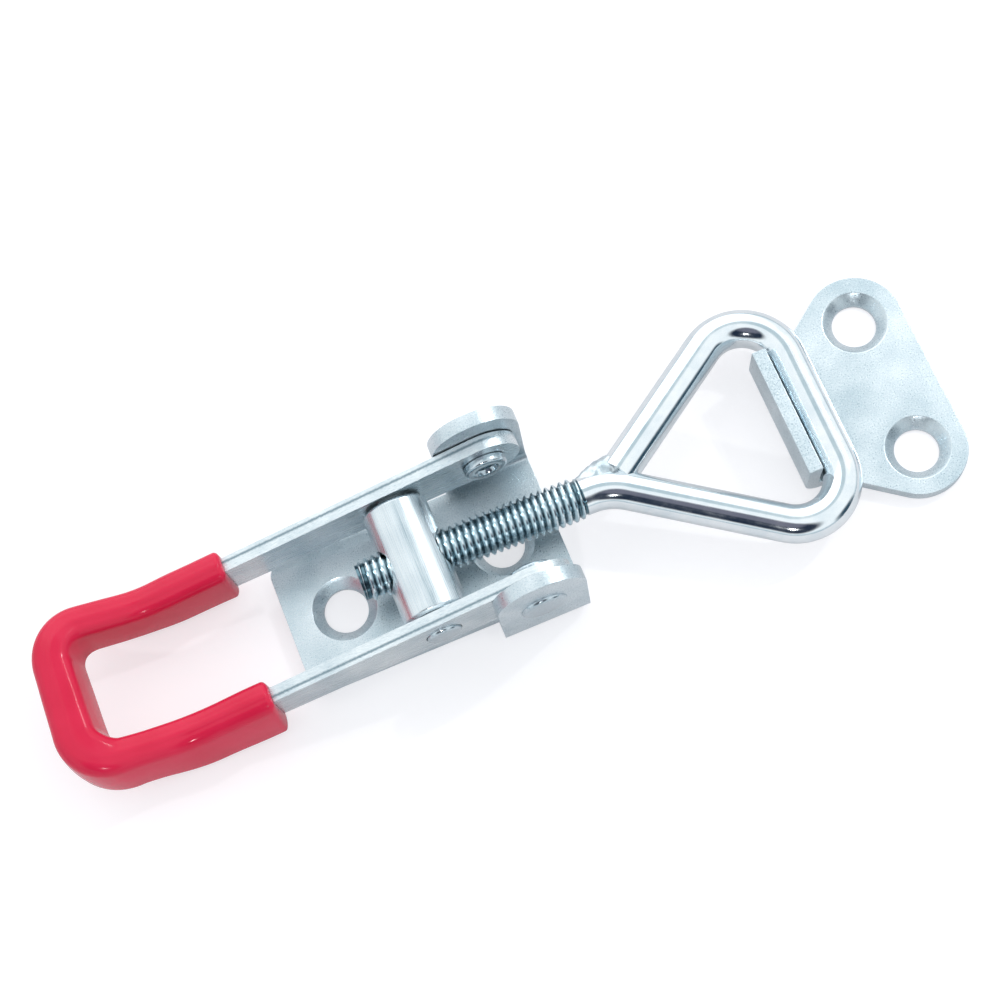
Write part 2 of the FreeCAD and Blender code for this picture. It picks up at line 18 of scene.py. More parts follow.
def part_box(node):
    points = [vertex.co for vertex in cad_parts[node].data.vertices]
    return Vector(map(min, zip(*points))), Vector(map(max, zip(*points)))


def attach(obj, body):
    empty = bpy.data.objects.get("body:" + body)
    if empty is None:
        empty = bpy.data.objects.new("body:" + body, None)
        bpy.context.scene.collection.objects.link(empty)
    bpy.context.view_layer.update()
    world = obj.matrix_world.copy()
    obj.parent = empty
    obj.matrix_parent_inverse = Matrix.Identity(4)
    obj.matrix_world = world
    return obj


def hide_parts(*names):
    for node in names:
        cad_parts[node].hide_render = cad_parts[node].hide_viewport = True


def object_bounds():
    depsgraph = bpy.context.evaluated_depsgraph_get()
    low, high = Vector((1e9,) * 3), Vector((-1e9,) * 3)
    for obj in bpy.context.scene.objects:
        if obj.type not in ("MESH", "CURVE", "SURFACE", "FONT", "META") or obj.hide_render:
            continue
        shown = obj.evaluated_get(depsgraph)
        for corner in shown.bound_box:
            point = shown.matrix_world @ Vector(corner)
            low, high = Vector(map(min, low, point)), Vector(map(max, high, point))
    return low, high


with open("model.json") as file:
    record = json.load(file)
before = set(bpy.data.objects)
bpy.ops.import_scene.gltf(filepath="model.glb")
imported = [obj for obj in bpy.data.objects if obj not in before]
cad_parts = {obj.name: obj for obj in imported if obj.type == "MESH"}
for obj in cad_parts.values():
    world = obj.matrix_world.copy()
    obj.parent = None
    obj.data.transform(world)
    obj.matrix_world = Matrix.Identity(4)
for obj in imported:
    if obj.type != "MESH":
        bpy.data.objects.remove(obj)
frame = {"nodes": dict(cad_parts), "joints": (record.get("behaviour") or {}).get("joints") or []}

CAD_BOX = [list(corner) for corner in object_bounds()]
MM = 0.001
nodes = frame["nodes"]
joints = {joint["name"]: joint for joint in frame["joints"]}
print("pieces in the frame:", sorted(nodes))

# %% [markdown]
# ## The camera first
# Every later choice is judged through the camera, so it comes first. The picture looks steeply
# down on the latch with a moderate telephoto lens, from the side of the near arm. The three
# vectors below are the camera's own place, right side and up side in the frame of the latch.

# %% Camera
CAMERA_PLACE = Vector((0.00519, -0.07282, 0.24896))
CAMERA_RIGHT = Vector((0.92368, -0.37326, -0.08656))
CAMERA_UP = Vector((0.38173, 0.87682, 0.29234))
LENS_MM = 67.32
SENSOR_MM = 36

camera_data = bpy.data.cameras.new("camera")
camera_data.lens = LENS_MM
camera_data.sensor_width = SENSOR_MM
camera_data.clip_start = 1 * MM
camera = bpy.data.objects.new("camera", camera_data)
bpy.context.scene.collection.objects.link(camera)
camera_axes = Matrix((CAMERA_RIGHT, CAMERA_UP, CAMERA_RIGHT.cross(CAMERA_UP))).transposed()
camera.matrix_world = Matrix.Translation(CAMERA_PLACE) @ camera_axes.to_4x4()
bpy.context.scene.camera = camera
bpy.context.scene.view_settings.view_transform = "Standard"
print("camera height in mm:", round(CAMERA_PLACE.z / MM, 1))

# %% [markdown]
# ## One helper for every node
# Materials, the floor, the surroundings and the geometry trees are all nodes with settings and
# links. One small function does both jobs, so each recipe below reads from top to bottom.


# %% Node helper and colours
def add(tree, kind, sockets=None, **settings):
    """Add one node, give it its settings, and fill its sockets with values or links."""
    node = tree.nodes.new(kind)
    for name, value in settings.items():
        setattr(node, name, value)
    for name, value in (sockets or {}).items():
        if isinstance(value, bpy.types.NodeSocket):
            tree.links.new(value, node.inputs[name])
        else:
            node.inputs[name].default_value = value
    return node


def linear(hex_colour):
    """Turn an sRGB hex colour into linear numbers, by the curve of the sRGB standard."""
    channels = [int(hex_colour[i:i + 2], 16) / 255 for i in (1, 3, 5)]
    bent = [c / 12.92 if c <= 0.04045 else ((c + 0.055) / 1.055) ** 2.4 for c in channels]
    return (*bent, 1.0)


print("mid grey in linear light:", [round(c, 3) for c in linear("#808080")[:3]])

# %% [markdown]
# ## The surroundings that the metal mirrors
# Bright zinc has hardly a colour of its own: it shows the room. A plain white dome lights the
# latch from all round and greys towards the horizon. A stronger soft source on the far side makes
# the white bands, and the darker room behind the camera makes the navy band along the rod. Each is
# a round patch of the world, given by its direction, the angles in degrees at which it is full and
# at which it has faded, its colour and its strength. Only the camera sees plain white there.

# %% World
PATCHES = [
    ((-0.22, -0.69, 0.69), 24, 36, "#27354b", 0.75),
    ((-0.12, -0.44, 0.89), 8, 18, "#747584", 1.0),
    ((0.76, -0.62, 0.16), 6, 20, "#2c4351", 1.4),
    ((0.08, 0.82, 0.57), 26, 40, "#ffffff", 1.8),
    ((0.14, 0.28, 0.95), 9, 15, "#c6d7de", 1.0)]
DOME_COLOUR = "#f6fafc"
DOME_STRENGTH = 1.12
HORIZON_COLOUR = "#a3b6c0"
HORIZON_TOP = 0.26
PICTURE_WHITE = "#fdfcfe"

world = bpy.data.worlds.new("studio")
bpy.context.scene.world = world
world.use_nodes = True
sky = world.node_tree
sky.nodes.clear()
toward = add(sky, "ShaderNodeTexCoord").outputs["Generated"]
height = add(sky, "ShaderNodeSeparateXYZ", {"Vector": toward}).outputs["Z"]
above = add(sky, "ShaderNodeMapRange", {
    "Value": height, "From Min": 0.0, "From Max": HORIZON_TOP}, interpolation_type="SMOOTHSTEP")
dome = add(sky, "ShaderNodeMix", {
    0: above.outputs[0], 6: linear(HORIZON_COLOUR), 7: linear(DOME_COLOUR)}, data_type="RGBA")
light = add(sky, "ShaderNodeBackground", {"Color": dome.outputs[2], "Strength": DOME_STRENGTH})
for direction, full, faded, colour, strength in PATCHES:
    nearness = add(sky, "ShaderNodeVectorMath", {0: toward, 1: Vector(direction).normalized()},
                   operation="DOT_PRODUCT")
    inside = add(sky, "ShaderNodeMapRange", {
        "Value": nearness.outputs["Value"], "From Min": math.cos(math.radians(faded)),
        "From Max": math.cos(math.radians(full))}, interpolation_type="SMOOTHSTEP")
    patch = add(sky, "ShaderNodeBackground", {"Color": linear(colour), "Strength": strength})
    light = add(sky, "ShaderNodeMixShader", {
        0: inside.outputs[0], 1: light.outputs[0], 2: patch.outputs[0]})
white = add(sky, "ShaderNodeBackground", {"Color": linear(PICTURE_WHITE), "Strength": 1.0})
seen = add(sky, "ShaderNodeLightPath").outputs["Is Camera Ray"]
shown = add(sky, "ShaderNodeMixShader", {0: seen, 1: light.outputs[0], 2: white.outputs[0]})
add(sky, "ShaderNodeOutputWorld", {"Surface": shown.outputs[0]})
print("patches in the world:", len(PATCHES))

# %% [markdown]
# ## Spark lamps
# The vinyl shows bright dots and one thin line where small bare lamps mirror in it: two small
# square ones draw the dots at the bends, and a short tube high on the catch's side draws the line
# along the crossbar. They are small and far, so they add little to the plain light level.

# %% Lamps
LAMP_DISTANCE = 0.8
LAMP_SIZE = 0.02
LAMP_WATTS = 0.9
TUBE_LENGTH = 0.12
TUBE_WATTS = 0.4
TUBE_WIDTH = 0.015
ALONG_X = Vector((1, 0, 0))
ALONG_Y = Vector((0, 1, 0))
LAMPS = {
    "spark_right": ((0.72, 0.22, 0.66), ALONG_Y, LAMP_SIZE, LAMP_SIZE, LAMP_WATTS),
    "spark_near": ((-0.15, -0.76, 0.63), ALONG_X, LAMP_SIZE, LAMP_SIZE, LAMP_WATTS),
    "tube_right": ((0.67, 0.28, 0.69), ALONG_Y, TUBE_LENGTH, TUBE_WIDTH, TUBE_WATTS)}

for name, (direction, run, length, width, watts) in LAMPS.items():
    lamp_data = bpy.data.lights.new(name, "AREA")
    lamp_data.shape = "RECTANGLE"
    lamp_data.size = length
    lamp_data.size_y = width
    lamp_data.energy = watts
    lamp = bpy.data.objects.new(name, lamp_data)
    bpy.context.scene.collection.objects.link(lamp)
    away = Vector(direction).normalized()
    sideways = away.cross(run).normalized()
    axes = Matrix((sideways.cross(away), sideways, away)).transposed()
    lamp.matrix_world = Matrix.Translation(away * LAMP_DISTANCE) @ axes.to_4x4()
    print(name, "at", [round(value, 2) for value in away * LAMP_DISTANCE])

# %% [markdown]
# ## The table
# A matt white table. To the camera and in mirror reflections half of its white is a glow, which
# brings it to the picture's background and keeps the shadow of the latch faint. All other light
# meets plain white paint. The picture's white is brighter than white paint looks, so mirrors get
# a smaller part of the glow: what they show is white paint.

# %% Floor
FLOOR_HALF = 2.0
PAINT = "#f0f0f2"
PAINT_UNDER_GLOW = "#bcbcbe"
FLOOR_BELOW = 0.02 * MM
GLOW = 0.58
GLOW_MIRRORED = 0.24
floor_paint = bpy.data.materials.new("matt_white_table")
floor_paint.use_nodes = True
tree = floor_paint.node_tree
tree.nodes.clear()
paint = add(tree, "ShaderNodeBsdfDiffuse", {"Color": linear(PAINT)})
half_paint = add(tree, "ShaderNodeBsdfDiffuse", {"Color": linear(PAINT_UNDER_GLOW)})
path = add(tree, "ShaderNodeLightPath")
glow_strength = add(tree, "ShaderNodeMapRange", {
    "Value": path.outputs["Is Glossy Ray"], "To Min": GLOW, "To Max": GLOW_MIRRORED})
glow = add(tree, "ShaderNodeEmission", {
    "Color": linear(PICTURE_WHITE), "Strength": glow_strength.outputs[0]})
lifted = add(tree, "ShaderNodeAddShader", {0: half_paint.outputs[0], 1: glow.outputs[0]})
mirrored = add(tree, "ShaderNodeMath", {
    0: path.outputs["Is Camera Ray"], 1: path.outputs["Is Glossy Ray"]}, operation="MAXIMUM")
seen = add(tree, "ShaderNodeMath", {
    0: mirrored.outputs[0], 1: path.outputs["Is Transmission Ray"]}, operation="MAXIMUM")
surface = add(tree, "ShaderNodeMixShader", {
    0: seen.outputs[0], 1: paint.outputs[0], 2: lifted.outputs[0]})
add(tree, "ShaderNodeOutputMaterial", {"Surface": surface.outputs[0]})

corners = [(-1, -1), (1, -1), (1, 1), (-1, 1)]
floor_mesh = bpy.data.meshes.new("table")
floor_z = CAD_BOX[0][2] - FLOOR_BELOW
floor_mesh.from_pydata([(x * FLOOR_HALF, y * FLOOR_HALF, floor_z) for x, y in corners], [],
                       [(0, 1, 2, 3)])
floor_mesh.materials.append(floor_paint)
floor = bpy.data.objects.new("table", floor_mesh)
bpy.context.scene.collection.objects.link(floor)
print("table height in mm:", round(floor_z / MM, 3))

# %% [markdown]
# ## The sheared edge
# The lever's strip was sheared from sheet, and its cut faces point up and down. They are rougher
# than the rolled faces, and a dull line wanders along them where the shear's clean cut ended and
# the metal tore. Both marks are added only where a face points up or down.

# %% Sheared edge
CUT_FROM = 0.75
CUT_FULL = 0.9
CUT_ROUGHER = 0.06
CUT_RELIEF = 0.45
TEAR_GRAIN = 0.35 * MM
TEAR_DEPTH = 0.15 * MM
TEAR_AT = 10.1 * MM
TEAR_WANDER = 0.35 * MM
TEAR_HALF_WIDTH = 0.32 * MM
TEAR_COLOUR = "#7f939d"


def cut_edges(tree, place, tint, gloss, bump):
    """Roughen and line the faces that point up or down, and leave the others."""
    facing = add(tree, "ShaderNodeSeparateXYZ", {
        "Vector": add(tree, "ShaderNodeTexCoord").outputs["Normal"]})
    turned_to = add(tree, "ShaderNodeMath", {0: facing.outputs["Z"]}, operation="ABSOLUTE")
    edge = add(tree, "ShaderNodeMapRange", {
        "Value": turned_to.outputs[0], "From Min": CUT_FROM, "From Max": CUT_FULL})
    torn = add(tree, "ShaderNodeTexNoise", {
        "Vector": place, "Scale": 1 / TEAR_GRAIN, "Detail": 5.0, "Roughness": 0.7})
    rough = add(tree, "ShaderNodeMath", {0: edge.outputs[0], 1: CUT_ROUGHER}, operation="MULTIPLY")
    gloss = add(tree, "ShaderNodeMath", {0: gloss, 1: rough.outputs[0]}, operation="ADD").outputs[0]
    strength = add(tree, "ShaderNodeMath", {0: edge.outputs[0], 1: CUT_RELIEF}, operation="MULTIPLY")
    bump = add(tree, "ShaderNodeBump", {
        "Height": torn.outputs[0], "Strength": strength.outputs[0],
        "Distance": TEAR_DEPTH, "Normal": bump}).outputs[0]
    side = add(tree, "ShaderNodeSeparateXYZ", {"Vector": place})
    from_middle = add(tree, "ShaderNodeMath", {0: side.outputs["Y"]}, operation="ABSOLUTE")
    wander = add(tree, "ShaderNodeMath", {0: torn.outputs[0], 1: TEAR_WANDER}, operation="MULTIPLY")
    shifted = add(tree, "ShaderNodeMath", {0: from_middle.outputs[0], 1: wander.outputs[0]},
                  operation="ADD")
    off_line = add(tree, "ShaderNodeMath", {0: shifted.outputs[0], 1: TEAR_AT}, operation="SUBTRACT")
    near_line = add(tree, "ShaderNodeMapRange", {
        "Value": add(tree, "ShaderNodeMath", {0: off_line.outputs[0]}, operation="ABSOLUTE").outputs[0],
        "From Min": TEAR_HALF_WIDTH, "From Max": 0.0}, interpolation_type="SMOOTHSTEP")
    line = add(tree, "ShaderNodeMath", {0: near_line.outputs[0], 1: edge.outputs[0]},
               operation="MULTIPLY")
    tint = add(tree, "ShaderNodeMix", {
        0: line.outputs[0], 6: tint, 7: linear(TEAR_COLOUR)},
        data_type="RGBA").outputs[2]
    return tint, gloss, bump


print("torn line lies", round(TEAR_AT / MM, 1), "mm from the latch's middle")

# %% [markdown]
# ## Painted shade in the thread's roots
# The thread's roots are painted a dull blue-grey, as painted shade where little light reaches
# into them. The distance from the screw's middle line says how deep a point lies. The screw's flat
# end lies nearer to that line than any root, so it keeps its light tint.

# %% Thread roots
CREST_RADIUS = 3.0 * MM
THREAD_DEPTH = 0.54 * MM
ROOT_RADIUS = CREST_RADIUS - THREAD_DEPTH
ROOT_DEPTH = 0.28 * MM
# Painted shade: the dark blue-grey that the thread's roots are painted with.
ROOT_SHADE_COLOUR = "#54727e"
END_FACE_FROM = ROOT_RADIUS - 0.05 * MM
END_FACE_TO = ROOT_RADIUS - 0.02 * MM
ROOT_FROM = ROOT_RADIUS - 0.01 * MM


def paint_root_shade(tree, place, axis, tint):
    """Paint shade into the roots of a thread by darkening the tint there. axis is a point and a
    direction.
    """
    out_of = add(tree, "ShaderNodeVectorMath", {0: place, 1: axis[0]}, operation="SUBTRACT")
    across = add(tree, "ShaderNodeVectorMath", {0: out_of.outputs[0], 1: axis[1]},
                 operation="CROSS_PRODUCT")
    radius = add(tree, "ShaderNodeVectorMath", {0: across.outputs[0]}, operation="LENGTH")
    root_shade = add(tree, "ShaderNodeMapRange", {
        "Value": radius.outputs["Value"], "From Min": ROOT_FROM,
        "From Max": ROOT_RADIUS + ROOT_DEPTH})
    end_face = add(tree, "ShaderNodeMapRange", {
        "Value": radius.outputs["Value"], "From Min": END_FACE_FROM,
        "From Max": END_FACE_TO, "To Min": 1.0, "To Max": 0.0})
    root_shade = add(tree, "ShaderNodeMath", {0: root_shade.outputs[0], 1: end_face.outputs[0]},
               operation="MAXIMUM")
    return add(tree, "ShaderNodeMix", {
        0: root_shade.outputs[0], 6: linear(ROOT_SHADE_COLOUR), 7: tint},
        data_type="RGBA").outputs[2]


print("thread core radius in mm:", round(ROOT_RADIUS / MM, 2))

# %% [markdown]
# ## Bright zinc on steel
# All the metal is steel with a thin electroplated coat of zinc, passivated bright, which leaves a
# cool blue cast. What differs is the surface under the coat: rolled sheet is satin with a fine
# grain, the drawn cross pin keeps lines along its length, and the rod is nearly a mirror. One
# recipe takes those differences as numbers: how far the grain is stretched along each axis, how
# fine it is, and how rough the metal looks. One noise lies mostly between 0.3 and 0.7, and the sum
# of two between 0.7 and 1.3, so these ranges are spread over the roughness and the tint.


# %% Zinc recipe
NOISE_RANGE = {"From Min": 0.3, "From Max": 0.7}
SUM_RANGE = {"From Min": 0.7, "From Max": 1.3}
GRAIN_DEPTH = 0.3


def zinc(name, light, dark, grain_mm, stretch, roughness, relief, cloud_mm=6.0, cut=False,
         axis=None):
    """Plated steel whose grain is grain_mm wide and stretch times longer along each axis.

    light and dark are its tints, roughness is the range that the grain runs through, and relief
    is the grain's strength. cut adds the sheared edge, and axis paints shade into the roots of a thread
    round it.
    """
    material = bpy.data.materials.new(name)
    material.use_nodes = True
    tree = material.node_tree
    tree.nodes.clear()
    place = add(tree, "ShaderNodeTexCoord").outputs["Object"]
    along = add(tree, "ShaderNodeMapping", {
        "Vector": place, "Scale": [1 / (grain_mm * MM * s) for s in stretch]})
    grain = add(tree, "ShaderNodeTexNoise", {
        "Vector": along.outputs[0], "Scale": 1.0, "Detail": 3.0, "Roughness": 0.6})
    cloud = add(tree, "ShaderNodeTexNoise", {
        "Vector": place, "Scale": 1 / (cloud_mm * MM), "Detail": 2.0})
    mixed = add(tree, "ShaderNodeMath", {0: grain.outputs[0], 1: cloud.outputs[0]},
                operation="ADD")
    tone = add(tree, "ShaderNodeMapRange", {
        "Value": mixed.outputs[0], **SUM_RANGE})
    colour = add(tree, "ShaderNodeMix", {
        0: tone.outputs[0], 6: linear(dark), 7: linear(light)}, data_type="RGBA")
    gloss = add(tree, "ShaderNodeMapRange", {
        "Value": grain.outputs[0], **NOISE_RANGE,
        "To Min": roughness[0], "To Max": roughness[1]})
    bump = add(tree, "ShaderNodeBump", {
        "Height": grain.outputs[0], "Strength": relief, "Distance": grain_mm * MM * GRAIN_DEPTH})
    gloss_out, bump_out = gloss.outputs[0], bump.outputs[0]
    tint_out = colour.outputs[2]
    if axis:
        tint_out = paint_root_shade(tree, place, axis, tint_out)
    if cut:
        tint_out, gloss_out, bump_out = cut_edges(tree, place, tint_out, gloss_out, bump_out)
    shader = add(tree, "ShaderNodeBsdfPrincipled", {
        "Base Color": tint_out, "Metallic": 1.0, "Roughness": gloss_out,
        "Normal": bump_out})
    add(tree, "ShaderNodeOutputMaterial", {"Surface": shader.outputs[0]})
    return material


# %% [markdown]
# ## The finishes
# Each call is one way of making steel before it is plated. Rolled sheet is satin and mottled, and
# sheared strip and drawn bar keep fine lines along their length. Headed wire and the bent rod are
# smooth and bright, and the weld is lumpier and duller. The real grain is too fine to show in the
# picture, so it is drawn 0.1 to 0.8 mm wide. The thread's line is given by two joints: the cross
# pin's pivot and the direction in which the bolt slides.

# %% Zinc finishes
sheet_zinc = zinc("bright_zinc_on_rolled_sheet", "#e6eef2", "#b8c9d1", 0.20, (1, 1, 1),
                  (0.24, 0.42), 0.35)
strip_zinc = zinc("bright_zinc_on_sheared_strip", "#eff5f7", "#c6d4db", 0.12, (30, 1, 1),
                  (0.20, 0.36), 0.30, cut=True)
pin_zinc = zinc("bright_zinc_on_drawn_bar", "#eaf1f4", "#c3d0d7", 0.10, (1, 60, 1),
                (0.22, 0.34), 0.15)
rivet_zinc = zinc("bright_zinc_on_headed_wire", "#d9e3e8", "#a9b9c2", 0.25, (1, 1, 1),
                  (0.14, 0.24), 0.12)
weld_zinc = zinc("bright_zinc_on_weld", "#e2ebef", "#b3c4cc", 0.8, (1, 1, 1),
                 (0.28, 0.38), 0.20, cloud_mm=2.0)
rod_zinc = zinc("mirror_zinc_on_bent_rod", "#f4f8fa", "#e2ebf0", 0.30, (6, 6, 6),
                (0.08, 0.15), 0.05)
pin_centre = Vector(joints["trunnion_pivot"]["pos_m"])
along_screw = Vector(joints["bolt_adjust"]["axis"]).normalized()
# axis paints shade into the thread's roots, round the screw's line.
thread_zinc = zinc("bright_zinc_on_rolled_thread", "#e6f1f5", "#c6d8e0", 0.60, (1, 1, 1),
                   (0.14, 0.20), 0.03, axis=(pin_centre, along_screw))
print("zinc finishes:", len([m for m in bpy.data.materials if "zinc" in m.name]))

# %% [markdown]
# ## Dipped vinyl
# The hot steel end is dipped in liquid vinyl (plastisol), which gels to an even, glossy, slightly
# soft skin. It is a dielectric: the red comes from inside, the gloss is white. A faint wave in
# the skin breaks up the highlights, as gravity pulled the coat before it set. Light that enters
# comes out nearby, and red goes four times as deep as green.

# %% Vinyl
VINYL_DARK = "#ca1d3e"
VINYL_LIGHT = "#da2b4e"
VINYL_ROUGHNESS = (0.12, 0.20)
VINYL_IOR = 1.5
VINYL_GLOSS = 0.24
VINYL_GLOW = 0.06
VINYL_DEPTH = 0.6 * MM
SKIN_WAVE = 5 * MM
SKIN_WAVE_HEIGHT = 0.4 * MM
SKIN_RELIEF = 0.15

vinyl = bpy.data.materials.new("dipped_red_vinyl")
vinyl.use_nodes = True
tree = vinyl.node_tree
tree.nodes.clear()
place = add(tree, "ShaderNodeTexCoord").outputs["Object"]
wave = add(tree, "ShaderNodeTexNoise", {"Vector": place, "Scale": 1 / SKIN_WAVE, "Detail": 2.0})
red = add(tree, "ShaderNodeMix", {
    0: wave.outputs[0], 6: linear(VINYL_DARK), 7: linear(VINYL_LIGHT)}, data_type="RGBA")
skin = add(tree, "ShaderNodeMapRange", {
    "Value": wave.outputs[0], **NOISE_RANGE, "To Min": VINYL_ROUGHNESS[0],
    "To Max": VINYL_ROUGHNESS[1]})
ripple = add(tree, "ShaderNodeBump", {
    "Height": wave.outputs[0], "Strength": SKIN_RELIEF, "Distance": SKIN_WAVE_HEIGHT})
shader = add(tree, "ShaderNodeBsdfPrincipled", {
    "Base Color": red.outputs[2], "Roughness": skin.outputs[0], "Normal": ripple.outputs[0],
    "IOR": VINYL_IOR, "Specular IOR Level": VINYL_GLOSS, "Subsurface Weight": VINYL_GLOW,
    "Subsurface Scale": VINYL_DEPTH, "Subsurface Radius": (1.0, 0.25, 0.2)})
add(tree, "ShaderNodeOutputMaterial", {"Surface": shader.outputs[0]})
print("vinyl:", vinyl.name)

# %% [markdown]
# ## Dress the pieces that come from the frame
# The folded sheets, the strip and the cross pin are right as they are. The real edges aren't razor
# sharp, so each gets a narrow bevel as a modifier, which leaves the frame's mesh itself untouched.
# Its triangles are first joined and merged to flats, so that only real edges are bevelled.

# %% Dress
FINISHES = {
    "base_plate": sheet_zinc, "catch_plate": sheet_zinc, "lever": strip_zinc,
    "trunnion": pin_zinc}
WELD_DISTANCE = 0.001 * MM
EDGE_WIDTH = {"base_plate": 0.25, "catch_plate": 0.25, "lever": 0.2}
EDGE_WIDTH_SMALL = 0.12
EDGE_ANGLE = math.radians(35)
FLAT_ANGLE = math.radians(0.5)

for name, finish in FINISHES.items():
    piece = nodes[name]
    piece.data.materials.clear()
    piece.data.materials.append(finish)
    joined = piece.modifiers.new("join", "WELD")
    joined.merge_threshold = WELD_DISTANCE
    merged = piece.modifiers.new("merge", "DECIMATE")
    merged.decimate_type = "DISSOLVE"
    merged.angle_limit = FLAT_ANGLE
    softened = piece.modifiers.new("soften", "BEVEL")
    softened.width = EDGE_WIDTH.get(name, EDGE_WIDTH_SMALL) * MM
    softened.segments = 2
    softened.limit_method = "ANGLE"
    softened.angle_limit = EDGE_ANGLE
    shaded = piece.modifiers.new("shade", "WEIGHTED_NORMAL")
    shaded.keep_sharp = False
    print(name, "dressed in", finish.name)

# %% [markdown]
# ## Geometry trees
# The draw bolt follows rules: a rod that bends at three corners, and a thread that climbs one
# pitch each turn. Two short trees say just that. Each takes its sizes as named inputs, so another
# bolt is only other numbers.


# %% Tree helpers
def new_tree(name, sizes):
    """Start a geometry tree with a mesh coming in, one input for each size, and a mesh out."""
    tree = bpy.data.node_groups.new(name, "GeometryNodeTree")
    tree.interface.new_socket("Geometry", in_out="INPUT", socket_type="NodeSocketGeometry")
    for size in sizes:
        tree.interface.new_socket(size, in_out="INPUT", socket_type="NodeSocketFloat")
    tree.interface.new_socket("Geometry", in_out="OUTPUT", socket_type="NodeSocketGeometry")
    return tree, add(tree, "NodeGroupInput").outputs


def close_tree(tree, geometry, material):
    """End the tree in real geometry that carries its material."""
    real = add(tree, "GeometryNodeRealizeInstances", {"Geometry": geometry})
    painted = add(tree, "GeometryNodeSetMaterial", {
        "Geometry": real.outputs[0], "Material": material})
    add(tree, "NodeGroupOutput", {"Geometry": painted.outputs[0]})


def grow(name, tree, sizes, mesh=None):
    """Run a tree on a mesh and keep the result as a plain object."""
    source = bpy.data.objects.new(name, mesh or bpy.data.meshes.new(name))
    bpy.context.scene.collection.objects.link(source)
    modifier = source.modifiers.new("grow", "NODES")
    modifier.node_group = tree
    for item in tree.interface.items_tree:
        if item.in_out == "INPUT" and item.name in sizes:
            modifier[item.identifier] = float(sizes[item.name])
    bpy.context.view_layer.update()
    evaluated = source.evaluated_get(bpy.context.evaluated_depsgraph_get())
    made = bpy.data.meshes.new_from_object(evaluated)
    source.modifiers.clear()
    source.data = made
    print(name, "has", len(made.polygons), "faces")
    return source


# %% [markdown]
# ## Where the bolt lies
# The bolt's own frame starts in the middle of the cross pin and looks along the screw. The frame
# of the latch gives both: the pin's pivot and the direction in which the bolt slides. The loop's
# reach and width are read from the bolt's box.

# %% Bolt sizes
ROD_RADIUS = 2.65 * MM
PITCH = 1.0 * MM
SCREW_BEHIND = 7.9 * MM
NECK = 1.1 * MM
LEG_ANGLE = math.radians(34.5)
LEG_BEND = 9.0 * MM
LOOP_CORNER = 6.6 * MM
LEG_STOP = 2.2 * MM

across = Vector((0, 1, 0))
bolt_frame = (Matrix.Translation(pin_centre)
              @ Matrix((along_screw, across, along_screw.cross(across))).transposed().to_4x4())
bolt_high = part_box("draw_bolt")[1]
bar_reach = (bolt_high.x - ROD_RADIUS - pin_centre.x) / along_screw.x
corner_y = bolt_high.y - ROD_RADIUS - LOOP_CORNER
leg_x = bar_reach - LOOP_CORNER - math.sin(LEG_ANGLE) * LOOP_CORNER
leg_y = corner_y + math.cos(LEG_ANGLE) * LOOP_CORNER
fork_x = leg_x - leg_y / math.tan(LEG_ANGLE)
tip_y = (bar_reach - fork_x) * math.tan(LEG_ANGLE)
screw_end = fork_x - LEG_BEND * math.tan(LEG_ANGLE / 2) - NECK
print("bar reach and fork in mm:", round(bar_reach / MM, 2), round(fork_x / MM, 2))

# %% [markdown]
# ## The bent rod
# The rod is one length of wire bent round three corners, whose end meets the shank again. The
# route is five points, each with its bend radius. The tree rounds the corners with Fillet Curve
# and sweeps a circle along the result, which is what the bending machine does.

# %% Rod
BEND_POINTS = 24
ROD_SIDES = 48
ROD_STEP = 0.4 * MM

tree, sizes = new_tree("bent_rod", ["Rod Radius", "Step"])
route = add(tree, "GeometryNodeMeshToCurve", {"Mesh": sizes["Geometry"]})
radius = add(tree, "GeometryNodeInputNamedAttribute", {"Name": "bend"}, data_type="FLOAT")
rounded = add(tree, "GeometryNodeFilletCurve", {
    "Curve": route.outputs[0], "Count": BEND_POINTS, "Radius": radius.outputs[0]}, mode="POLY")
even = add(tree, "GeometryNodeResampleCurve", {
    "Curve": rounded.outputs[0], "Length": sizes["Step"]}, mode="LENGTH")
upright = add(tree, "GeometryNodeSetCurveNormal", {"Curve": even.outputs[0]}, mode="Z_UP")
section = add(tree, "GeometryNodeCurvePrimitiveCircle", {
    "Resolution": ROD_SIDES, "Radius": sizes["Rod Radius"]}, mode="RADIUS")
swept = add(tree, "GeometryNodeCurveToMesh", {
    "Curve": upright.outputs[0], "Profile Curve": section.outputs[0], "Scale": 1.0,
    "Fill Caps": True})
close_tree(tree, swept.outputs[0], rod_zinc)

leg_stop = Vector((math.cos(LEG_ANGLE), math.sin(LEG_ANGLE))) * LEG_STOP
corners = [(screw_end, 0, 0), (fork_x, 0, LEG_BEND), (bar_reach, -tip_y, LOOP_CORNER),
           (bar_reach, tip_y, LOOP_CORNER), (fork_x + leg_stop.x, leg_stop.y, 0)]
wire = bpy.data.meshes.new("bolt_route")
wire.from_pydata([(x, y, 0) for x, y, _ in corners],
                 [(i, i + 1) for i in range(len(corners) - 1)], [])
bends = wire.attributes.new("bend", "FLOAT", "POINT")
for value, (_, _, bend) in zip(bends.data, corners):
    value.value = bend
rod = grow("draw_bolt_loop", tree, {"Rod Radius": ROD_RADIUS, "Step": ROD_STEP}, wire)

# %% [markdown]
# ## The rolled thread
# An M6 thread has a pitch of 1 mm and flanks of 60 degrees. A spiral carries a small trapezium
# round the core, a little blunter than the standard's: its foot covers nearly the whole pitch and
# its crest a fifth of it. Its size fades over about a turn at both ends, as a rolled thread does.

# %% Thread
CREST_FLAT = PITCH / 5
HALF_FOOT = 0.47
TURN_POINTS = 40
CORE_SIDES = 64
RUN_IN_END = 0.04
RUN_OUT_START = 0.97
RUN_OUT_SIZE = 0.3

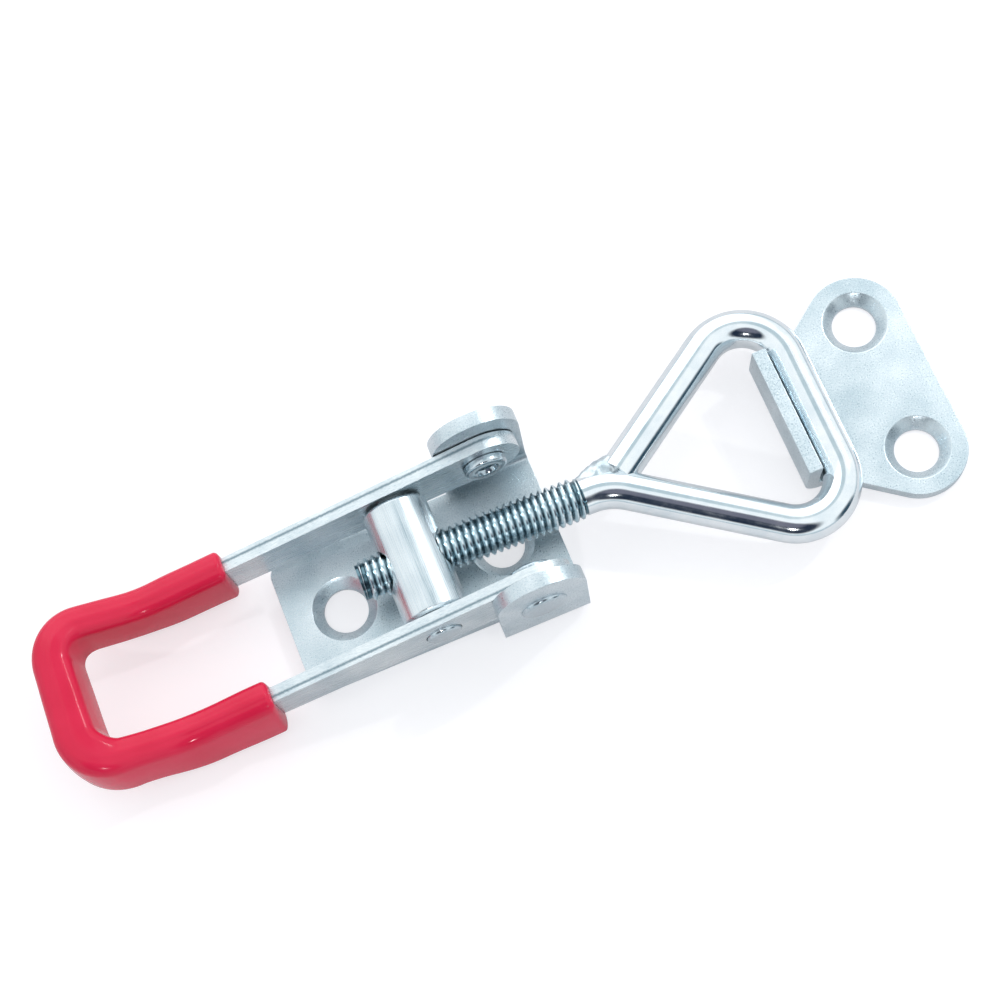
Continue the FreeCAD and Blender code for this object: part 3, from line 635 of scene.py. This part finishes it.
tree, sizes = new_tree("rolled_thread", ["Pitch", "Length", "Root", "Crest", "Flat"])
turns = add(tree, "ShaderNodeMath", {0: sizes["Length"], 1: sizes["Pitch"]}, operation="DIVIDE")
spiral = add(tree, "GeometryNodeCurveSpiral", {
    "Resolution": TURN_POINTS, "Rotations": turns.outputs[0], "Start Radius": sizes["Root"],
    "End Radius": sizes["Root"], "Height": sizes["Length"]})
upright = add(tree, "GeometryNodeSetCurveNormal", {"Curve": spiral.outputs[0]}, mode="Z_UP")
depth = add(tree, "ShaderNodeMath", {0: sizes["Root"], 1: sizes["Crest"]}, operation="SUBTRACT")
half_flat = add(tree, "ShaderNodeMath", {0: sizes["Flat"], 1: 0.5}, operation="MULTIPLY")
half_foot = add(tree, "ShaderNodeMath", {0: sizes["Pitch"], 1: HALF_FOOT}, operation="MULTIPLY")


def corner(out, sideways, sign):
    """One corner of the thread's section, from two sockets."""
    signed = add(tree, "ShaderNodeMath", {0: sideways, 1: float(sign)}, operation="MULTIPLY")
    return add(tree, "ShaderNodeCombineXYZ", {"X": out, "Y": signed.outputs[0]}).outputs[0]


section = add(tree, "GeometryNodeCurvePrimitiveQuadrilateral", {
    "Point 1": corner(0.0, half_foot.outputs[0], 1),
    "Point 2": corner(depth.outputs[0], half_flat.outputs[0], 1),
    "Point 3": corner(depth.outputs[0], half_flat.outputs[0], -1),
    "Point 4": corner(0.0, half_foot.outputs[0], -1)}, mode="POINTS")
travelled = add(tree, "GeometryNodeSplineParameter")
rise = add(tree, "ShaderNodeMapRange", {
    "Value": travelled.outputs["Factor"], "From Min": 0.0, "From Max": RUN_IN_END})
fall = add(tree, "ShaderNodeMapRange", {
    "Value": travelled.outputs["Factor"], "From Min": RUN_OUT_START, "From Max": 1.0,
    "To Min": 1.0, "To Max": RUN_OUT_SIZE})
fade = add(tree, "ShaderNodeMath", {0: rise.outputs[0], 1: fall.outputs[0]}, operation="MULTIPLY")
ridge = add(tree, "GeometryNodeCurveToMesh", {
    "Curve": upright.outputs[0], "Profile Curve": section.outputs[0], "Scale": fade.outputs[0],
    "Fill Caps": True})
core = add(tree, "GeometryNodeMeshCylinder", {
    "Vertices": CORE_SIDES, "Radius": sizes["Root"], "Depth": sizes["Length"]})
half_length = add(tree, "ShaderNodeMath", {0: sizes["Length"], 1: 0.5}, operation="MULTIPLY")
lift = add(tree, "ShaderNodeCombineXYZ", {"Z": half_length.outputs[0]})
core_up = add(tree, "GeometryNodeTransform", {
    "Geometry": core.outputs["Mesh"], "Translation": lift.outputs[0]})
both = add(tree, "GeometryNodeJoinGeometry", {"Geometry": core_up.outputs[0]})
tree.links.new(ridge.outputs[0], both.inputs[0])
close_tree(tree, both.outputs[0], thread_zinc)

screw = grow("draw_bolt_thread", tree, {
    "Pitch": PITCH, "Length": screw_end + SCREW_BEHIND, "Root": ROOT_RADIUS,
    "Crest": CREST_RADIUS, "Flat": CREST_FLAT})
screw.data.transform(Matrix.Translation((-SCREW_BEHIND, 0, 0))
                     @ Matrix.Rotation(math.radians(90), 4, "Y"))

# %% [markdown]
# ## Place the bolt
# Both pieces are made in the bolt's own frame, so one matrix carries them to their place. It goes
# into the mesh, which leaves the objects themselves at the origin.

# %% Ride on the bolt
SHARP = math.radians(40)
for piece in (rod, screw):
    closed = bmesh.new()
    closed.from_mesh(piece.data)
    bmesh.ops.recalc_face_normals(closed, faces=closed.faces)
    closed.to_mesh(piece.data)
    closed.free()
    piece.data.transform(bolt_frame)
    piece.data.shade_smooth()
    piece.data.set_sharp_from_angle(angle=SHARP)
    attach(piece, "draw_bolt")
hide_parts("draw_bolt")
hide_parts("draw_bolt")
print("on the bolt:", rod.name, "and", screw.name)

# %% [markdown]
# ## The weld
# The rod's free end is cut blunt and held to the shank by one small weld, which was plated with
# the rest. A weld bead is liquid that froze, so it is made of a row of drops that are fused by a
# voxel remesh and smoothed, and its skin is a little uneven. The row starts thin and is thickest
# at two thirds of its length. Its places and radii are in millimetres from the fork.

# %% Weld
WELD_START = Vector((-4.6, 1.0, 0.2))
WELD_END = Vector((1.8, 2.5, 0.3))
WELD_COUNT = 14
WELD_THIN, WELD_THICK = 1.1, 1.95
WELD_VOXEL = 0.16 * MM
WELD_SMOOTHING = 20
WELD_FLOW = 0.5
WELD_SWELL = 0.75
RIPPLE_SIZE = 0.9 * MM
RIPPLE_HEIGHT = 0.15 * MM


def fused(name, shapes, voxel, smoothing, material):
    """Fuse overlapping shapes into one skin and let it flow a little."""
    piece = bpy.data.objects.new(name, bpy.data.meshes.new(name))
    bpy.context.scene.collection.objects.link(piece)
    shapes.to_mesh(piece.data)
    shapes.free()
    skin = piece.modifiers.new("skin", "REMESH")
    skin.mode = "VOXEL"
    skin.voxel_size = voxel
    flow = piece.modifiers.new("flow", "SMOOTH")
    flow.factor = WELD_FLOW
    flow.iterations = smoothing
    bpy.context.view_layer.update()
    evaluated = piece.evaluated_get(bpy.context.evaluated_depsgraph_get())
    mesh = bpy.data.meshes.new_from_object(evaluated)
    piece.modifiers.clear()
    piece.data = mesh
    mesh.shade_smooth()
    mesh.materials.clear()
    mesh.materials.append(material)
    print(name, "has", len(mesh.polygons), "faces")
    return piece


drops = bmesh.new()
for i in range(WELD_COUNT):
    share = i / (WELD_COUNT - 1)
    centre = WELD_START.lerp(WELD_END, share)
    radius = WELD_THIN + (WELD_THICK - WELD_THIN) * math.sin(math.pi * WELD_SWELL * share)
    place = Matrix.Translation(Vector((fork_x, 0, 0)) + centre * MM)
    bmesh.ops.create_icosphere(drops, subdivisions=3, radius=radius * MM, matrix=place)
weld = fused("draw_bolt_weld", drops, WELD_VOXEL, WELD_SMOOTHING, weld_zinc)
for vertex in weld.data.vertices:
    vertex.co += vertex.normal * (noise.noise(vertex.co / RIPPLE_SIZE) * RIPPLE_HEIGHT)
weld.data.transform(bolt_frame)
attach(weld, "draw_bolt")

# %% [markdown]
# ## Rivets
# Each pivot rivet has a low head, which stands half a millimetre proud of the ear, and an end that
# was spun over inside the arm, with a punched hollow. Their rims are rounded, and a rounded rim is
# what catches the dark side of the room as a thin crescent. A half profile is turned about its
# axis, as on a lathe. Each profile point is a radius and a depth under the ear's outer face. The
# hollow's points are in millimetres, a radius and a depth from the spun end.


# %% Lathe
def turned(name, profile, material, steps=72):
    """Turn a half profile of (radius, height) points about Z and close it at both poles."""
    shape = bmesh.new()
    rings = []
    for radius, height in profile:
        if radius == 0:
            rings.append([shape.verts.new((0, 0, height))] * steps)
            continue
        angles = [2 * math.pi * i / steps for i in range(steps)]
        rings.append([shape.verts.new((radius * math.cos(a), radius * math.sin(a), height))
                      for a in angles])
    for lower, upper in zip(rings, rings[1:]):
        for i in range(steps):
            j = (i + 1) % steps
            corners = [lower[i], lower[j], upper[j], upper[i]]
            shape.faces.new(list(dict.fromkeys(corners)))
    bmesh.ops.recalc_face_normals(shape, faces=shape.faces)
    mesh = bpy.data.meshes.new(name)
    shape.to_mesh(mesh)
    shape.free()
    mesh.materials.append(material)
    mesh.shade_smooth()
    mesh.set_sharp_from_angle(angle=SHARP)
    piece = bpy.data.objects.new(name, mesh)
    bpy.context.scene.collection.objects.link(piece)
    return piece


def rim(radius, height, rounding, count=6):
    """Points of a quarter round from a flat end face down to the side of a turned piece."""
    centre_r, centre_h = radius - rounding, height + rounding
    return [(centre_r + rounding * math.sin(a), centre_h - rounding * math.cos(a))
            for a in (math.pi / 2 * i / count for i in range(count + 1))]


# %% Rivet sizes
HEAD_RADIUS = 3.2 * MM
HEAD_RIM = 0.6 * MM
HEAD_PROUD = 0.55 * MM
SHANK_RADIUS = 2.5 * MM
END_RADIUS = 3.0 * MM
END_RIM = 0.45 * MM
END_HEIGHT = 1.1 * MM
HOLLOW = [(1.85, 0.0), (1.65, 0.15), (1.45, 0.7), (1.0, 0.9), (0.4, 0.8), (0.0, 0.75)]
PLATE = 2.0 * MM

plate_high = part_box("base_plate")[1]
pivot = Vector(joints["lever_pivot"]["pos_m"])
for name, side in (("near_pivot_rivet", -1), ("far_pivot_rivet", 1)):
    low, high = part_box(name)
    length = plate_high.y - min(abs(low.y), abs(high.y))
    profile = [(0, -HEAD_PROUD)]
    profile += rim(HEAD_RADIUS, -HEAD_PROUD, HEAD_RIM)
    profile += [(HEAD_RADIUS, PLATE), (SHANK_RADIUS, PLATE), (SHANK_RADIUS, length - END_HEIGHT),
                (END_RADIUS, length - END_HEIGHT)]
    profile += [(r, length - h) for r, h in reversed(rim(END_RADIUS, 0, END_RIM))]
    profile += [(r * MM, length - depth * MM) for r, depth in HOLLOW]
    rivet = turned(name + "_turned", profile, rivet_zinc)
    rivet.data.transform(Matrix.Translation((pivot.x, plate_high.y * side, pivot.z))
                         @ Matrix.Rotation(math.radians(90) * side, 4, "X"))
    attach(rivet, "base")
    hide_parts(name)
    print(name, "is", round(length / MM, 2), "mm long")

# %% [markdown]
# ## The cross pin's ends
# The pin's two spigots stand half a millimetre out of the arms. Their ends are rounded, so a low
# cap with a rounded rim finishes each of them.

# %% Pin ends
CAP_RADIUS = 2.45 * MM
CAP_RIM = 0.55 * MM
CAP_PROUD = 0.5 * MM
CAP_LENGTH = 1.8 * MM
lever_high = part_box("lever")[1]
for name, side in (("near_pin_end", -1), ("far_pin_end", 1)):
    face = lever_high.y + CAP_PROUD
    profile = [(0, 0)] + rim(CAP_RADIUS, 0, CAP_RIM) + [(CAP_RADIUS, CAP_LENGTH), (0, CAP_LENGTH)]
    cap = turned(name, profile, rivet_zinc)
    cap.data.transform(Matrix.Translation((pin_centre.x, face * side, pin_centre.z))
                       @ Matrix.Rotation(math.radians(90) * side, 4, "X"))
    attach(cap, "trunnion")
    print(name, "stands", round(CAP_PROUD / MM, 2), "mm proud")

# %% [markdown]
# ## The coat on the handle
# The strip's closed end was dipped in vinyl. The coat follows the strip all round, so it is a row
# of closed rings along the strip's middle line. At each ring the strip's own height is found by
# casting a ray down and a ray up at the lever, and the coat's thickness is added to it. The
# section is a rounded rectangle whose sides bulge a little. The coat ran while it set: it is
# thickest at the near corner, and the near arm's outer side flares out towards its lower edge.

# %% Coat route
STRIP = 2.0 * MM
MIDDLE_BEND = 4.8 * MM
STEP = 0.4 * MM
MOUTH_ROUND = 0.8 * MM

lever_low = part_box("lever")[0]
arm_y = lever_high.y - STRIP / 2
crossbar_x = lever_low.x + STRIP / 2
mouth_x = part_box("handle_grip")[1].x
bend_x = crossbar_x + MIDDLE_BEND
bend_y = arm_y - MIDDLE_BEND
arm_run = mouth_x - bend_x
bend_run = MIDDLE_BEND * math.pi / 2
whole_run = 2 * (arm_run + bend_run + bend_y)


def on_route(travel):
    """Place and outward side of the strip's middle line, from the near mouth to the far one."""
    if travel > whole_run / 2:
        x, y, side_x, side_y = on_route(whole_run - travel)
        return x, -y, side_x, -side_y
    if travel < arm_run:
        return mouth_x - travel, -arm_y, 0.0, -1.0
    if travel < arm_run + bend_run:
        angle = (travel - arm_run) / MIDDLE_BEND
        side_x, side_y = -math.sin(angle), -math.cos(angle)
        return bend_x + MIDDLE_BEND * side_x, -bend_y + MIDDLE_BEND * side_y, side_x, side_y
    return crossbar_x, -bend_y + travel - arm_run - bend_run, -1.0, 0.0


print("coat runs", round(whole_run / MM, 1), "mm along the strip")

# %% Coat sizes
# Plain numbers are millimetres of vinyl or shares, and those with MM are lengths in the frame.
SKIN_GAP = 0.01
COAT_ARM = 1.25
COAT_INSIDE = 1.45
COAT_END_FAR = 1.75
COAT_END_NEAR = 2.05
COAT_NEAR_CORNER = 0.25
COAT_TOP = 1.25
COAT_BOTTOM = 1.5
FLARE = 0.25
FLARE_CORNER = 0.6
FLARE_NEAR_ARM = 1.0
FLARE_RUN = 14 * MM
FLARE_FROM = 0.4
NEAR_SOFT = 5 * MM
CORNER_REACH = 4 * MM
ROUND_TOP = 1.6
ROUND_TOP_END = 1.9
ROUND_INSIDE = 1.5
ROUND_BOTTOM = 1.5
SIDE_BULGE = 0.12
WAVE_HEIGHT = 0.08
WAVE_LENGTH = 6 * MM
CORNER_POINTS = 8
SIDE_POINTS = 7
print("coat on the arms:", COAT_ARM, "mm thick")

# %% Strip heights
MOUTH_RINGS = 8
CAST_FROM = 0.1

lever_tree = BVHTree.FromObject(nodes["lever"], bpy.context.evaluated_depsgraph_get())
fine = [MOUTH_ROUND * (i / MOUTH_RINGS) ** 2 for i in range(MOUTH_RINGS)]
count = round((whole_run - 2 * MOUTH_ROUND) / STEP)
coarse = [MOUTH_ROUND + (whole_run - 2 * MOUTH_ROUND) * i / count for i in range(count + 1)]
travels = fine + coarse + [whole_run - value for value in reversed(fine)]


def strip_heights(x, y):
    """Lowest and highest point of the strip over one place of its middle line."""
    above = lever_tree.ray_cast(Vector((x, y, CAST_FROM)), Vector((0, 0, -1)))[0]
    below = lever_tree.ray_cast(Vector((x, y, -CAST_FROM)), Vector((0, 0, 1)))[0]
    return below.z, above.z


def smoothed(values, reach=3):
    """Running mean, which takes out the facets of the strip's bends."""
    padded = [values[0]] * reach + values + [values[-1]] * reach
    width = 2 * reach + 1
    return [sum(padded[i:i + width]) / width for i in range(len(values))]


heights = [strip_heights(*on_route(travel)[:2]) for travel in travels]
bottoms = smoothed([low for low, _ in heights])
tops = smoothed([high for _, high in heights])
print("strip at the mouth:", round((tops[0] - bottoms[0]) / MM, 2), "mm high")


# %% Coat section
def blend(a, b, share):
    """The value at a share of the way from a to b."""
    return a + (b - a) * share


def rounded_section(out, into, up, down, rounds, bulge):
    """A rounded rectangle with its own reach to each side, as (sideways, height) pairs."""
    signs = [(1, 1), (-1, 1), (-1, -1), (1, -1)]
    points = []
    for k, ((sign_s, sign_h), r) in enumerate(zip(signs, rounds)):
        centre_s = (out - r) if sign_s > 0 else (r - into)
        centre_h = (up - r) if sign_h > 0 else (r - down)
        for i in range(CORNER_POINTS + 1):
            angle = math.pi / 2 * (k + i / CORNER_POINTS)
            points.append((centre_s + r * math.cos(angle), centre_h + r * math.sin(angle)))
        turn = (k + 1) * math.pi / 2
        next_s, next_h = signs[(k + 1) % 4]
        next_r = rounds[(k + 1) % 4]
        goal_s = ((out - next_r) if next_s > 0 else (next_r - into)) + next_r * math.cos(turn)
        goal_h = ((up - next_r) if next_h > 0 else (next_r - down)) + next_r * math.sin(turn)
        start_s, start_h = points[-1]
        for i in range(1, SIDE_POINTS + 1):
            share = i / (SIDE_POINTS + 1)
            push = bulge * math.sin(math.pi * share)
            points.append((blend(start_s, goal_s, share) + push * math.cos(turn),
                           blend(start_h, goal_h, share) + push * math.sin(turn)))
    return points


def coat_ring(index, coated):
    """One ring of the coat's outside, or of the inside that hugs the strip."""
    travel = travels[index]
    x, y, side_x, side_y = on_route(travel)
    middle_z = (tops[index] + bottoms[index]) / 2
    half_height = (tops[index] - bottoms[index]) / 2
    edge = min(travel, whole_run - travel, MOUTH_ROUND) / MOUTH_ROUND
    grown = math.sqrt(max(0.0, 1 - (1 - edge) ** 2)) if coated else 0.0
    at_end = max(0.0, -side_x)
    nearness = 0.5 * (1 - math.tanh(y / NEAR_SOFT))
    at_corner = nearness * math.exp(-((travel - arm_run - bend_run / 2) / CORNER_REACH) ** 2)
    ripple = 1 + WAVE_HEIGHT * noise.noise(Vector((x, y, middle_z)) / WAVE_LENGTH)
    out = blend(COAT_ARM, blend(COAT_END_FAR, COAT_END_NEAR, nearness), at_end)
    out += COAT_NEAR_CORNER * at_corner
    inside = blend(COAT_ARM, COAT_INSIDE, at_end) + COAT_NEAR_CORNER * at_corner
    along = min(1.0, max(0.0, (arm_run + bend_run * FLARE_FROM - travel) / FLARE_RUN))
    flare_start = blend(FLARE, FLARE_CORNER, nearness)
    flare = blend(flare_start, FLARE_NEAR_ARM, along * along * (3 - 2 * along) * nearness) * grown
    reach = [SKIN_GAP + grown * value * ripple for value in (out, inside, COAT_TOP, COAT_BOTTOM)]
    rounds = [blend(ROUND_TOP, ROUND_TOP_END, at_end), ROUND_INSIDE, ROUND_BOTTOM, ROUND_BOTTOM]
    rounds = [SKIN_GAP + value * grown for value in rounds]
    section = rounded_section(
        STRIP / 2 + reach[0] * MM, STRIP / 2 + reach[1] * MM, half_height + reach[2] * MM,
        half_height + reach[3] * MM, [r * MM for r in rounds], SIDE_BULGE * grown * MM)
    points = []
    for sideways, height in section:
        low_share = 0.5 * (1 - height / half_height)
        if sideways > 0:
            sideways += flare * MM * low_share * min(1.0, sideways / (STRIP / 2))
        points.append((x + side_x * sideways, y + side_y * sideways, middle_z + height))
    return points


# %% Coat mesh
shape = bmesh.new()
order = [(i, True) for i in range(len(travels))]
order += [(i, False) for i in reversed(range(len(travels)))]
rings = [[shape.verts.new(point) for point in coat_ring(*step)] for step in order]
for here, there in zip(rings, rings[1:] + rings[:1]):
    for i in range(len(here)):
        j = (i + 1) % len(here)
        shape.faces.new((here[i], here[j], there[j], there[i]))
bmesh.ops.remove_doubles(shape, verts=shape.verts, dist=WELD_DISTANCE)
bmesh.ops.recalc_face_normals(shape, faces=shape.faces)
coat_mesh = bpy.data.meshes.new("handle_coat")
shape.to_mesh(coat_mesh)
shape.free()
coat_mesh.materials.append(vinyl)
coat_mesh.shade_smooth()
coat = bpy.data.objects.new("handle_coat", coat_mesh)
bpy.context.scene.collection.objects.link(coat)
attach(coat, "lever")
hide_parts("handle_grip")
print("coat has", len(coat_mesh.polygons), "faces")

# %% Finish
bpy.context.view_layer.update()
